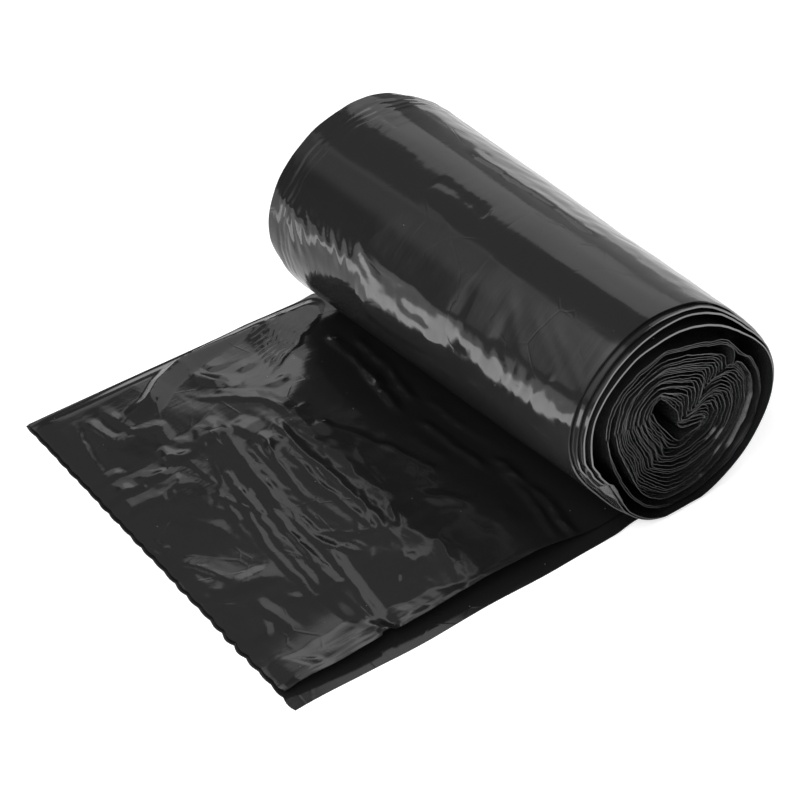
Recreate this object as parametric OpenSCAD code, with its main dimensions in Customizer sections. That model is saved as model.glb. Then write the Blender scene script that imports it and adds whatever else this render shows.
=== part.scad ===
// Roll of perforated bin bags, lying on its side, with the free end drawn out flat.
// The whole web is one piece of folded film, so it is one solid: the roll's skin, the
// spiral of turns in both end faces, the collapsed bore and the free end on the floor.
// Y runs along the roll, with the end that is seen at -Y. The free end points to -X.

/* [Roll] */
// Length of the roll from rim to rim
roll_l = 200; // [140:1:300]
// Mean diameter of the roll at the far end
roll_d = 111; // [90:1:140]
// How much slimmer the roll is at the near end
near_slim = 3.6; // [0:0.1:6]
// How far the near end has shifted sideways, away from the free end
near_shift = 2.5; // [0:0.1:4]
// Depth pressed flat under the roll
flat_press = 1.2; // [0.6:0.1:2.5]
// How far the soft section is drawn out at the near end
near_lean = 6.7; // [0:0.1:10]
// How far the soft section is drawn out at the far end
far_lean = 4.5; // [0:0.1:10]
// Height of the ripples round the skin
skin_ripple = 0.2; // [0:0.1:0.5]

/* [Ends] */
// Turns that show in each end face
turns = 11; // [6:1:12]
// Height of a turn's edge above the groove beside it
turn_rise = 1.8; // [0.5:0.1:3]
// Distance that each outer layer is set back from the next at the near end
layer_step = 3; // [1:0.5:4]
// The same distance at the far end
far_layer_step = 4; // [1:0.5:6]
// Radial step from each outer layer to the next at the near end
layer_t = 1.8; // [0.6:0.1:2.5]
// The same step at the far end
far_layer_t = 0.9; // [0.6:0.1:2.5]
// Depth of the dark ring inside the rim
ring_depth = 10; // [4:0.5:14]
// Width of the dark ring inside the rim
ring_w = 4.5; // [3:0.5:6]
// How far the wound turns have sagged in the loose outer layers, as a share of their inset
sag = 0.7; // [0:0.05:0.75]
// Depth of the first turn's edge below the rim
turn_depth = 2; // [1:0.5:5]
// Depth of the two buckles that run in to the bore
buckle_depth = 8.5; // [0:0.5:9]
// Length of the collapsed bore's section
bore_l = 30; // [16:1:34]
// Width of the collapsed bore's section
bore_w = 9; // [5:1:14]

/* [Free end] */
// Distance from the roll's contact line to the torn edge
free_l = 181; // [120:1:260]
// Distance that the lower ply shows beyond the upper one at the near edge
ply_slip = 8; // [4:1:16]
// Thickness of one folded ply, with the air in it
ply_t = 1.1; // [0.8:0.1:1.6]
// How far the web drifts past the roll at the far side
drift = 12; // [0:1:16]
// Sideways lean of the free end, in degrees
skew = 1.2; // [0:0.1:3]
// Number of tabs along the torn perforation
tabs = 24; // [12:1:28]
// Depth of the tabs
tab_depth = 1.5; // [0.5:0.1:2.5]
// Height of the creases in the free end
crease_h = 1.4; // [0:0.1:2]

/* [Hidden] */

film = [0.09, 0.09, 0.095];

// Points round the section, and columns along the free end
around = 48;
columns = 22;

// The section's other bulges, threefold and fourfold, and their directions
bulge_3 = 0.6;
bulge_3_dir = 15;
bulge_4 = 1;
bulge_4_dir = -7;
near_lean_dir = -48;
far_lean_dir = -36;
// Ripples round the skin: how many, how strong at mid length, and how far they turn on the way
skin_waves = 9;
mid_ripple = 0.3;
ripple_turn = 200;

// The web's outer layer stops short of the rim by two layer steps
near_edge = -roll_l / 2 + 2 * layer_step;
far_edge = roll_l / 2 - 2 * far_layer_step;
// The free end leaves that width on both sides, over a short flare beside the roll
near_drift = 1;
free_near = near_edge - near_drift;
free_far = roll_l / 2 + drift;
free_w = free_far - free_near;
flare_l = roll_d / 8;

// Stations across the web: one per tab, and two that make the upper ply's edge crisp
ply_edge_t = ply_slip / free_w;
ply_edge_w = 0.4 / free_w;
even_t = [for (k = [0:tabs]) k / tabs];
gap_t = 0.25 / tabs;
station_t = [
    each [for (t = even_t) if (t < ply_edge_t - gap_t) t],
    ply_edge_t, ply_edge_t + ply_edge_w,
    each [for (t = even_t) if (t > ply_edge_t + ply_edge_w + gap_t) t]
];
last = len(station_t) - 1;

function mix(a, b, t) = a + (b - a) * t;
function clamp01(t) = min(1, max(0, t));
function ease(t) = let (c = clamp01(t)) c * c * (3 - 2 * c);
// 1 on a line and falling straight to 0 at the given distance: a sharp fold
function fold(d, reach) = max(0, 1 - abs(d) / reach);
function turn_to(a) = let (w = a - 360 * floor(a / 360)) w > 180 ? w - 360 : w;

// Radius of the free section at an angle from +X, before the floor flattens it
function free_r(a, t) =
    let (lean = mix(near_lean, far_lean, t), dir = mix(near_lean_dir, far_lean_dir, t),
         ripple = skin_ripple * mix(mid_ripple, 1, abs(2 * t - 1)) * sin(skin_waves * a + ripple_turn * t))
    (roll_d - near_slim * (1 - t)) / 2 + lean * cos(2 * (a - dir)) + bulge_3 * cos(3 * (a - bulge_3_dir))
    + bulge_4 * cos(4 * (a - bulge_4_dir)) + ripple;
// Middle of the section at each station, with flat_press of the section below the floor
middles = [
    for (t = station_t)
        [near_shift * (1 - t), -min([for (a = [-130:5:-50]) free_r(a, t) * sin(a)]) - flat_press]
];
function floor_r(a, j) =
    let (r = free_r(a, station_t[j])) sin(a) < 0 ? min(r, -middles[j][1] / sin(a)) : r;
function on_floor(a, j) = middles[j] + floor_r(a, j) * [cos(a), sin(a)];

// The root of the free end: where the roll's underside first clears the two plies
crease_z = 2 * ply_t;
root_gap = 0.2;
root_a = [
    for (j = [0:last]) max([
        for (a = [-150:0.5:-88]) if (on_floor(a, j)[1] > crease_z + root_gap) a
    ])
];
root_x = [for (j = [0:last]) on_floor(root_a[j], j)[0]];

// Angles round the section: the first point is the root on top of the free end, and they
// run up the left side, over the top and back underneath
function end_a(j) = atan2(-middles[j][1], root_x[j] - middles[j][0]);
function ring_a(i, j) = mix(root_a[j], end_a(j) - 360, i / (around - 1));
// An inset grows upwards to the left and shrinks below, more so for the turns further in
sag_dir = 120;
outer_sag = 0.7;
function sagged(inset, a) =
    inset * (1 + sag * mix(outer_sag, 1, min(1, inset / last_inset)) * cos(a - sag_dir));
// The point at an angle, brought in by an inset that never takes it under the floor
function ring_xz(i, j, inset) =
    let (a = ring_a(i, j), d = sagged(inset, a))
    i == 0 ? [root_x[j] + d, crease_z + d] :
    i == around - 1 ? [root_x[j] + d, d] :
    on_floor(a, j) - d * [cos(a), sin(a)];

// The bore: a flattened loop, leaning down to the right. It has sagged too
bore_dir = -55;
bore_at = [-2.8, -5];
function bore_xz(i, j) =
    let (a = root_a[j] - bore_dir - i * 360 / around, u = bore_l / 2 * cos(a), v = bore_w / 2 * sin(a))
    middles[j] + bore_at
    + [u * cos(bore_dir) - v * sin(bore_dir), u * sin(bore_dir) + v * cos(bore_dir)];

// Two buckles pull the turns in. Each has a direction at the bore and at the rim, a half
// width, a strength, and the shares of the way out where it is full, gone, and begins to go
buckles = [[-42, 24, 34, 1, 0.3, 0.95, 0.45], [-97, -145, 30, 0.7, 0.25, 0.8, 0.4]];
function one_buckle(b, a, s) =
    b[3] * fold(turn_to(a - mix(b[0], b[1], ease(1.4 * s))), b[2])
    * ease(s / b[4]) * ease((b[5] - s) / (b[5] - b[6]));
function buckle(a, s) = one_buckle(buckles[0], a, s) + one_buckle(buckles[1], a, s);
// A turn at fraction s from the bore out to the last plain ring
function turn_xz(i, j, s, inset) =
    let (p = mix(bore_xz(i, j), ring_xz(i, j, inset), s), c = middles[j] + bore_at,
         d = p - c, r = max(0.001, norm(d)))
    c + d * (r - min(buckle_depth * buckle(ring_a(i, j), s), 0.45 * r)) / r;

// Rings between the skin and the first turn: inset from the skin, depth from the end plane
rim_round = 0.3;
ring_slope = 0.5;
ring_lip = 1;
function end_rings(step, t) = [
    [t, 2 * step],
    [t, step],
    [2 * t, step],
    [2 * t, 0],
    [3 * t, rim_round],
    [3 * t + ring_slope, ring_depth],
    [3 * t + ring_slope + ring_w - ring_lip, ring_depth],
    [3 * t + ring_slope + ring_w, turn_depth]
];
near_rings = end_rings(layer_step, layer_t);
far_rings = end_rings(far_layer_step, far_layer_t);
end_n = len(near_rings);
last_inset = near_rings[end_n - 1][0];
bore_drop = 2;
bore_depth = turn_depth + bore_drop;

// The free end, at x and across the web at t, past a root at rx
function web_y(x, t, rx) =
    let (k = ease((rx - x) / flare_l))
    mix(mix(near_edge, far_edge, t), mix(free_near, free_far, t), k) - x * tan(skew) * k;
function plies(t) =
    let (y = t * free_w)
    (y < ply_slip + ply_edge_w * free_w / 2 ? 1 : 2) - ease((y - free_w + ply_slip) / ply_slip);
// Creases: long soft folds that slant across the middle, with broad swells over them. They
// fade out within a margin of the near side, the far side, the torn edge and the root
fold_pitch = free_l / 7;
fold_slant = 0.22;
fold_sway = 60;
near_margin = 12;
far_margin = 14;
torn_margin = 0.2;
root_margin = 12;
function crease(x, t) =
    let (y = t * free_w, s = -x / free_l,
         inside = ease((y - ply_slip) / near_margin) * ease((free_w - y) / far_margin)
         * ease((1 - s) / torn_margin),
         long = cos(360 * (x + fold_slant * y) / fold_pitch + fold_sway * sin(2 * y)),
         swell = cos(360 * (y - x / 2) / (3 * fold_pitch)))
    inside * crease_h * (0.5 + 0.5 * long) * (0.55 + 0.45 * swell);
function web_z(x, t, rx) =
    mix(ply_t * plies(t) + crease(x, t), crease_z, ease((x - rx + root_margin) / root_margin));
// The torn edge: rounded tabs between the perforations, a little off square to the web
torn_skew = 2;
function end_x(t) = -free_l + tan(torn_skew) * mix(free_near, free_far, t);
function torn_x(t) = end_x(t) - tab_depth * abs(sin(180 * tabs * t));
tip_l = 5;
function column_x(i, t, rx) = mix(end_x(t) + tip_l, rx, i / columns);

// One closed loop of points per station: free end's top, skin, free end's underside
function loop_points(j) =
    let (t = station_t[j], rx = root_x[j])
    [
        for (i = [0:columns - 1]) let (x = column_x(i, t, rx)) [x, web_y(x, t, rx), web_z(x, t, rx)],
        for (i = [0:around - 1])
            let (p = ring_xz(i, j, 0)) [p[0], mix(near_edge, far_edge, t), p[1]],
        for (i = [columns - 1:-1:0]) let (x = column_x(i, t, rx)) [x, web_y(x, t, rx), 0]
    ];
loop_n = 2 * columns + around;

// Fine points along the torn edge, at least one step per station
tab_steps = [for (j = [0:last - 1]) max(1, round(4 * tabs * (station_t[j + 1] - station_t[j])))];
tab_start = [for (j = 0, s = 0; j <= last; s = s + (j < last ? tab_steps[j] : 0), j = j + 1) s];
torn_t = [
    for (j = [0:last - 1]) for (k = [0:tab_steps[j] - 1])
        mix(station_t[j], station_t[j + 1], k / tab_steps[j]),
    1
];
torn_n = len(torn_t);
torn_top = [for (t = torn_t) let (x = torn_x(t)) [x, web_y(x, t, 0), ply_t * plies(t)]];
torn_low = [for (p = torn_top) [p[0], p[1], 0]];

// Points of an end face: side is -1 at the near end and 1 at the far end. The turns are
// two strands, an edge and a groove, that wind inwards together. The groove opens over the
// first sixth of a turn and deepens over the first quarter, and the outer turns stand higher
strands = 2 * turns;
function wound(r, c) = floor(r / 2) + c / around;
function strand_s(r, c) =
    let (edge = 1 - wound(r, c) / turns, half = 0.5 / turns)
    r % 2 == 0 ? edge : edge - min(half * clamp01(6 * wound(r, c)), edge / 2);
function strand_depth(r, c) =
    let (s = strand_s(r, c), rise = turn_rise * (1 + ease((s - 0.75) / 0.2)) * clamp01(4 * wound(r, c)))
    mix(bore_depth, turn_depth, ease(s * 1.6)) + (r % 2 == 0 ? -rise / 2 : rise / 2);
function face_y(side, depth) = side * (roll_l / 2 - depth);
function face_points(side) =
    let (j = side < 0 ? 0 : last, rings = side < 0 ? near_rings : far_rings)
    [
        for (e = rings) for (i = [0:around - 1])
            let (p = ring_xz(i, j, e[0])) [p[0], face_y(side, e[1]), p[1]],
        for (r = [0:strands - 1]) for (c = [0:around - 1])
            let (p = turn_xz((around - c) % around, j, strand_s(r, c), rings[end_n - 1][0]))
            [p[0], face_y(side, strand_depth(r, c)), p[1]],
        for (i = [0:around - 1]) let (p = bore_xz(i, j)) [p[0], face_y(side, bore_depth), p[1]]
    ];
face_n = (end_n + strands + 1) * around;

// Where each group of points starts in the whole list
torn_top_at = (last + 1) * loop_n;
torn_low_at = torn_top_at + torn_n;
near_at = torn_low_at + torn_n;
far_at = near_at + face_n;

function loop_id(j, i) = j * loop_n + i;
function plain_id(side, e, i) =
    let (k = i % around)
    e < 0 ? loop_id(side < 0 ? 0 : last, columns + k) : (side < 0 ? near_at : far_at) + e * around + k;
function bore_id(side, i) = (side < 0 ? near_at : far_at) + (end_n + strands) * around + i % around;
// Strand r at step c. The strands start on the last plain ring and end on the bore
function strand_id(side, r, c) =
    let (i = (around - c) % around)
    r < 0 ? plain_id(side, end_n - 1, i) :
    c == around ? strand_id(side, r + 2, 0) :
    c == 0 && r < 2 ? plain_id(side, end_n - 1, 0) :
    r >= strands ? bore_id(side, i) :
    (side < 0 ? near_at : far_at) + (end_n + r) * around + c;

// Four corners to two triangles, leaving out those that have shrunk to a line
function halves(q) = [
    for (f = [[q[0], q[1], q[2]], [q[0], q[2], q[3]]])
        if (f[0] != f[1] && f[1] != f[2] && f[2] != f[0]) f
];
function turned(q) = [q[0], q[3], q[2], q[1]];
function facing(q, side) = side < 0 ? q : turned(q);

skin_faces = [
    for (j = [0:last - 1]) for (i = [0:loop_n - 2])
        [loop_id(j, i), loop_id(j + 1, i), loop_id(j + 1, i + 1), loop_id(j, i + 1)]
];
bore_faces = [
    for (i = [0:around - 1]) [bore_id(-1, i), bore_id(-1, i + 1), bore_id(1, i + 1), bore_id(1, i)]
];
edge_faces = [
    for (side = [-1, 1]) let (j = side < 0 ? 0 : last, k = side < 0 ? 0 : torn_n - 1)
        each [
            for (i = [0:columns - 1])
                facing([loop_id(j, i), loop_id(j, i + 1),
                        loop_id(j, loop_n - 2 - i), loop_id(j, loop_n - 1 - i)], side),
            facing([torn_top_at + k, loop_id(j, 0), loop_id(j, loop_n - 1), torn_low_at + k], side)
        ]
];
ring_faces = [
    for (side = [-1, 1]) for (e = [0:end_n - 1]) for (i = [0:around - 1])
        facing([plain_id(side, e - 1, i), plain_id(side, e - 1, i + 1),
                plain_id(side, e, i + 1), plain_id(side, e, i)], side)
];
turn_faces = [
    for (side = [-1, 1]) for (r = [-1:strands - 1]) for (c = [0:around - 1])
        facing([strand_id(side, r, c), strand_id(side, r + 1, c),
                strand_id(side, r + 1, c + 1), strand_id(side, r, c + 1)], side)
];
torn_wall = [
    for (k = [0:torn_n - 2]) [torn_top_at + k, torn_low_at + k, torn_low_at + k + 1, torn_top_at + k + 1]
];
// The strip that fans from each station's last column out to the tabs
function tab_fan(j, i, at) =
    let (a = tab_start[j], b = tab_start[j + 1], m = floor((a + b) / 2))
    [
        for (k = [a:b - 1]) [at + k, at + k + 1, loop_id(k < m ? j : j + 1, i)],
        [at + m, loop_id(j + 1, i), loop_id(j, i)]
    ];
tab_faces = [
    for (j = [0:last - 1]) each tab_fan(j, 0, torn_top_at),
    for (j = [0:last - 1]) for (f = tab_fan(j, loop_n - 1, torn_low_at)) [f[2], f[1], f[0]]
];

points = [
    for (j = [0:last]) each loop_points(j),
    each torn_top,
    each torn_low,
    each face_points(-1),
    each face_points(1)
];
faces = [
    for (q = concat(skin_faces, bore_faces, edge_faces, ring_faces, turn_faces, torn_wall)) each halves(q),
    each tab_faces
];

// The origin is on the floor under the middle of the whole object
xs = [for (p = points) p[0]];
ys = [for (p = points) p[1]];
middle = [(min(xs) + max(xs)) / 2, (min(ys) + max(ys)) / 2, 0];

module bag_roll() {
    color(film) translate(-middle) polyhedron(points, faces, convexity = 12);
}

bag_roll();
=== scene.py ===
import bpy
import numpy as np
from math import cos, pi, radians, sin, tan
from mathutils import Matrix, Vector


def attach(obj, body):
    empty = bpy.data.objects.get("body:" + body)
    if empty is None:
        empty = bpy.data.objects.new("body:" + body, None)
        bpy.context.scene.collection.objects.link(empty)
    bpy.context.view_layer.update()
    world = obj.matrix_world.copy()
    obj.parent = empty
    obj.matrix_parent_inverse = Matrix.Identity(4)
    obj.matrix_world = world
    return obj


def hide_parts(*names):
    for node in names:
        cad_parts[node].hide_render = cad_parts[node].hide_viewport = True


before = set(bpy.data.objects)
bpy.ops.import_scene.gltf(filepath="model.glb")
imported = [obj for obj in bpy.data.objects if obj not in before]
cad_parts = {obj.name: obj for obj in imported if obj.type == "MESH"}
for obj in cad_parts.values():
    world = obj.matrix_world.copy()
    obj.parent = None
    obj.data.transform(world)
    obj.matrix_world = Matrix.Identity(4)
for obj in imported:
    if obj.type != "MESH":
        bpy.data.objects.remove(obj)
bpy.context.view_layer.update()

# A roll of bin bags: one web of folded black polyethylene film, wound on itself.
# The drawing below is in mm, with its zero where the roll touches the floor at mid length.
# y runs along the roll, and the free end lies towards -x.
middle = np.array([-63.481, 7.855, 0.0])     # of the whole object, in that drawing
arcRadius = 55.0              # mm, by which an angle round the roll is read as a length


def toPart(points):
    return (np.asarray(points, float) - middle) / 1000


# small helpers

def smooth(x):
    x = np.clip(x, 0.0, 1.0)
    return x * x * (3 - 2 * x)


def mix(a, b, t):
    return a + (b - a) * t


# gradient noise, about -0.7 to 0.7
def noise(u, v, seed, period=0):
    rng = np.random.RandomState(seed)
    turn = rng.rand(256, 256) * 2 * pi
    u, v = np.broadcast_arrays(np.asarray(u, float), np.asarray(v, float))
    i, j = np.floor(u).astype(int), np.floor(v).astype(int)
    x, y = u - i, v - j

    def corner(di, dj):
        ii = (i + di) % period if period else i + di
        g = turn[ii % 256, (j + dj) % 256]
        return np.cos(g) * (x - di) + np.sin(g) * (y - dj)

    sx, sy = x * x * x * (x * (x * 6 - 15) + 10), y * y * y * (y * (y * 6 - 15) + 10)
    return mix(mix(corner(0, 0), corner(1, 0), sx), mix(corner(0, 1), corner(1, 1), sx), sy) * 1.4


# a straight-sided fold along a line of points: height on it, falling to 0 at left and right
def tent(px, py, line, height, left, right, taper=8.0):
    best = np.full(np.shape(px), 1e9)
    out = np.zeros(np.shape(px))
    line = np.asarray(line, float)
    seg = np.linalg.norm(np.diff(line, axis=0), axis=1)
    total, done = seg.sum(), 0.0
    for (x0, y0), (x1, y1), length in zip(line[:-1], line[1:], seg):
        dx, dy = (x1 - x0) / length, (y1 - y0) / length
        along = np.clip((px - x0) * dx + (py - y0) * dy, 0, length)
        gap = np.hypot(px - x0 - along * dx, py - y0 - along * dy)
        side = (py - y0) * dx - (px - x0) * dy
        s = done + along
        ends = np.minimum(1, np.minimum(s, total - s) / taper + 0.15)
        h = height * ends * np.clip(1 - gap / np.where(side > 0, left, right), 0, 1)
        closer = gap < best
        out = np.where(closer, h, out)
        best = np.where(closer, gap, best)
        done += length
    return out


# a piece of film from points in mm, with its pattern laid out by uv in mm
def newMesh(name, points, faces, uv, smoothBy=40):
    mesh = bpy.data.meshes.new(name)
    mesh.from_pydata(toPart(points).tolist(), [], [tuple(f) for f in np.asarray(faces).tolist()])
    layer = mesh.uv_layers.new(name="film")
    loops = np.empty(len(mesh.loops), int)
    mesh.loops.foreach_get("vertex_index", loops)
    layer.data.foreach_set("uv", (np.asarray(uv, float)[loops] / 1000).ravel())
    mesh.shade_smooth()
    mesh.set_sharp_from_angle(angle=radians(smoothBy))
    piece = bpy.data.objects.new(name, mesh)
    bpy.context.collection.objects.link(piece)
    mesh.materials.append(blackFilm)
    return piece


def gridFaces(rows, columns, closeRows=False, closeColumns=False):
    r = np.arange(rows if closeRows else rows - 1)[:, None]
    c = np.arange(columns if closeColumns else columns - 1)[None, :]
    r1, c1 = (r + 1) % rows, (c + 1) % columns
    corners = [r * columns + c, r1 * columns + c, r1 * columns + c1, r * columns + c1]
    return np.stack(corners, -1).reshape(-1, 4)


def addNode(tree, kind, links=None, **settings):
    node = tree.nodes.new(kind)
    for key, value in settings.items():
        if key in node.inputs:
            node.inputs[key].default_value = value
        else:
            setattr(node, key, value)
    for key, source in (links or {}).items():
        tree.links.new(source, node.inputs[key])
    return node


def fromHex(code):
    parts = [int(code[i:i + 2], 16) / 255 for i in (1, 3, 5)]
    return tuple(c / 12.92 if c <= 0.04045 else ((c + 0.055) / 1.055) ** 2.4 for c in parts) + (1.0,)


# the film

film = {
    "colour": "#1d1d1e",      # carbon black in polyethylene, seen without its gloss
    "dust": "#6a6a68",
    "ior": 1.51,
    "roughness": 0.125,
    "roughnessSpread": 0.08,
    "drawLine": 1.7,          # mm between the fine lines left by blowing and winding
    "bump": 0.03,             # mm
    "crease": 0.035,          # mm, height of the hairline creases
    "creaseCell": 19.0,       # mm, size of the fields between them
    "peelSize": 7.0, "cloudSize": 35.0, "dustCell": 9.0,     # mm
}


def blownFilm():
    # Blown polyethylene film: glossy, so the lamps show in it almost sharply. Drawing and
    # winding leave fine lines and a slight orange peel that feather the edges of those reflections
    mat = bpy.data.materials.new("blown black polyethylene")
    mat.use_nodes = True
    tree = mat.node_tree
    tree.nodes.clear()
    place = addNode(tree, "ShaderNodeUVMap", uv_map="film").outputs["UV"]
    stretched = addNode(tree, "ShaderNodeMapping", {"Vector": place}, Scale=(0.09, 1.0, 1.0)).outputs[0]
    lines = addNode(tree, "ShaderNodeTexNoise", {"Vector": stretched},
                    Scale=1000 / film["drawLine"], Detail=3.0, Roughness=0.55).outputs["Fac"]
    peel = addNode(tree, "ShaderNodeTexNoise", {"Vector": place}, Scale=1000 / film["peelSize"],
                   Detail=2.0).outputs["Fac"]
    cloudy = addNode(tree, "ShaderNodeTexNoise", {"Vector": place}, Scale=1000 / film["cloudSize"],
                     Detail=4.0, Roughness=0.6).outputs["Fac"]
    # hairline creases from handling, in patches
    cells = addNode(tree, "ShaderNodeTexVoronoi", {"Vector": place}, feature="DISTANCE_TO_EDGE",
                    Scale=1000 / film["creaseCell"]).outputs["Distance"]
    hair = addNode(tree, "ShaderNodeMapRange", {"Value": cells}, **{"From Min": 0.0, "From Max": 0.03,
                   "To Min": film["crease"] / film["bump"], "To Max": 0.0}).outputs[0]
    patch = addNode(tree, "ShaderNodeMapRange", {"Value": cloudy}, **{"From Min": 0.48, "From Max": 0.6,
                    "To Min": 0.0, "To Max": 1.0}).outputs[0]
    creases = addNode(tree, "ShaderNodeMath", {0: hair, 1: patch}, operation="MULTIPLY").outputs[0]
    fine = addNode(tree, "ShaderNodeMath", {0: lines, 1: peel}, operation="ADD").outputs[0]
    relief = addNode(tree, "ShaderNodeMath", {0: fine, 1: creases}, operation="ADD").outputs[0]
    bump = addNode(tree, "ShaderNodeBump", {"Height": relief}, Strength=1.0,
                   Distance=film["bump"] / 1000).outputs["Normal"]
    rough = addNode(tree, "ShaderNodeMapRange", {"Value": cloudy}, **{"From Min": 0.3, "From Max": 0.7,
                    "To Min": film["roughness"] - film["roughnessSpread"] / 2,
                    "To Max": film["roughness"] + film["roughnessSpread"] / 2}).outputs[0]
    specks = addNode(tree, "ShaderNodeTexVoronoi", {"Vector": place},
                     Scale=1000 / film["dustCell"]).outputs["Distance"]
    dust = addNode(tree, "ShaderNodeMapRange", {"Value": specks}, **{"From Min": 0.02, "From Max": 0.035,
                   "To Min": 0.8, "To Max": 0.0}).outputs[0]
    colour = addNode(tree, "ShaderNodeMix", {"Factor": dust}, data_type="RGBA")
    colour.inputs[6].default_value = fromHex(film["colour"])
    colour.inputs[7].default_value = fromHex(film["dust"])
    shader = addNode(tree, "ShaderNodeBsdfPrincipled",
                     {"Base Color": colour.outputs[2], "Roughness": rough, "Normal": bump}, IOR=film["ior"])
    addNode(tree, "ShaderNodeOutputMaterial", {"Surface": shader.outputs[0]})
    return mat


blackFilm = blownFilm()
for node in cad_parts.values():
    node.data.materials.clear()
    node.data.materials.append(blackFilm)

# the roll's section

roll = {
    "end": 100.0,             # half the length, rim to rim
    "skinNear": -94.0, "skinFar": 92.0,
    "diameter": 111.0, "nearSlim": 3.6, "nearShift": 2.5,
    "lean": (6.7, 4.5), "leanAt": (-48.0, -36.0),
    "press": 1.2,             # depth pressed flat on the floor
    "sag": 0.7, "sagAt": 120.0, "sagFull": 10.4,
}


def freeRadius(a, t):
    lean, at = mix(*roll["lean"], t), mix(*roll["leanAt"], t)
    return ((roll["diameter"] - roll["nearSlim"] * (1 - t)) / 2 + lean * np.cos(2 * np.radians(a - at))
            + 0.6 * np.cos(3 * np.radians(a - 15)) + 1.0 * np.cos(4 * np.radians(a + 7)))


# the roll's centre stands as high as its underside allows, less what is pressed flat
under = np.arange(-130, -49, 5.0)
heights = [-(freeRadius(under, t) * np.sin(np.radians(under))).min() - roll["press"] for t in (0, 0.5, 1)]


def centreHeight(t):
    return np.interp(t, (0, 0.5, 1), heights)


def alongRoll(y):
    return (np.asarray(y, float) - roll["skinNear"]) / (roll["skinFar"] - roll["skinNear"])


def sagged(inset, a):
    share = mix(0.7, 1, np.minimum(1, np.asarray(inset) / roll["sagFull"]))
    return inset * (1 + roll["sag"] * share * np.cos(np.radians(a - roll["sagAt"])))


# the point of the roll at an angle from +x, brought in by an inset
def onRoll(a, y, inset, t=None):
    t = np.clip(alongRoll(y), 0, 1) if t is None else t
    rise = centreHeight(t)
    s, c = np.sin(np.radians(a)), np.cos(np.radians(a))
    r = freeRadius(a, t)
    r = np.where(s < -0.05, np.minimum(r, -rise / np.minimum(s, -0.05)), r) - sagged(inset, a)
    x, z = roll["nearShift"] * (1 - t) + r * c, rise + r * s
    return np.stack(np.broadcast_arrays(x, y, np.maximum(z, 0.02)), -1)


# the skin and its layer edges

skin = {
    "around": 236, "along": 250,
    "thickness": 0.6,         # the outer turns lie close, and end together
    "swell": 0.3,             # mm, long soft waves
    "wrinkle": 0.12,          # mm, round the roll near its ends
}
# Folds that run on the skin: points as y and angle, height mm, widths mm, taper mm. The first width is
# on the lower left side of a fold that runs towards the far end
skinFolds = [
    ([(-96, 126), (-60, 126), (-20, 125)], 0.10, 6, 2, 8),
    ([(4, 122.5), (20, 120), (36, 116.5)], 0.16, 3, 2, 5),
    ([(-3, 110.8), (6, 109.7), (13, 110.8), (21, 109.9), (31, 110.6)], -0.32, 4.5, 6, 2),
    ([(-42, 84.5), (0, 83), (40, 85)], 0.55, 2, 7, 8),
    ([(-100, 167), (-60, 168), (-25, 171)], 0.7, 8, 13, 20),
    ([(-97, 146), (-60, 129)], 0.09, 3, 3, 8),
    ([(-84, 147), (-50, 130)], 0.08, 3, 3, 8),
    ([(-64, 150), (-36, 129)], 0.10, 4, 3, 8),
    ([(-99, 152), (-92, 158), (-84, 161)], 0.25, 5, 4, 4),
    ([(-79, 148), (-74, 155), (-72, 164)], 0.22, 2.2, 2.2, 3),
    ([(-68, 152), (-66, 160), (-62, 168)], 0.26, 2.4, 2.2, 3),
    ([(-60, 153), (-60, 160), (-57, 166)], 0.22, 2.2, 2.0, 3),
    ([(-48, 153), (-54, 158), (-56, 163)], 0.2, 2.2, 2.2, 3),
    ([(-46, 160), (-32, 166), (-20, 168)], 0.25, 5, 4, 6),
    ([(-22, 164), (-4, 170), (14, 174), (38, 172)], 1.8, 8, 17, 12),
    ([(-24, 152), (0, 151), (24, 151.5), (42, 147)], 0.7, 8, 20, 8),
    ([(-46, 156.5), (-34, 157), (-24, 158)], 0.6, 6, 25, 5),
    ([(-12, 160.5), (0, 161), (9, 160.5)], -0.22, 2.4, 2.6, 4),
    ([(20, 158), (34, 154), (42, 147)], 0.25, 3.5, 3, 5),
    ([(-20.5, 108), (-20, 127), (-19.5, 150), (-19, 172)], 0.035, 0.9, 0.9, 3),
]
# slanting strokes low on the far half: y of the top and of the foot, and the angle of the foot
strokes = ((97, 76, 176), (91, 70, 172), (84, 66, 168), (77, 63, 166),
           (72, 57, 164), (63, 54, 163), (57, 46, 166), (48, 42, 164))
for k, (top, foot, low) in enumerate(strokes):
    line = [(top, 149 + 1.5 * (k % 3)), ((top + foot) / 2 - 1, 158), (foot, low)]
    skinFolds.append((line, 0.46 + 0.09 * (k % 3), 2.5, 4.2, 6))
# turns inside print through near the far end
for y, depth in ((82.5, 0.10), (85.5, 0.16), (88.8, 0.2)):
    skinFolds.append(([(y + 1, 20), (y, 80), (y + 0.8, 130), (y, 200)], -depth, 1.0, 1.3, 9))


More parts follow.
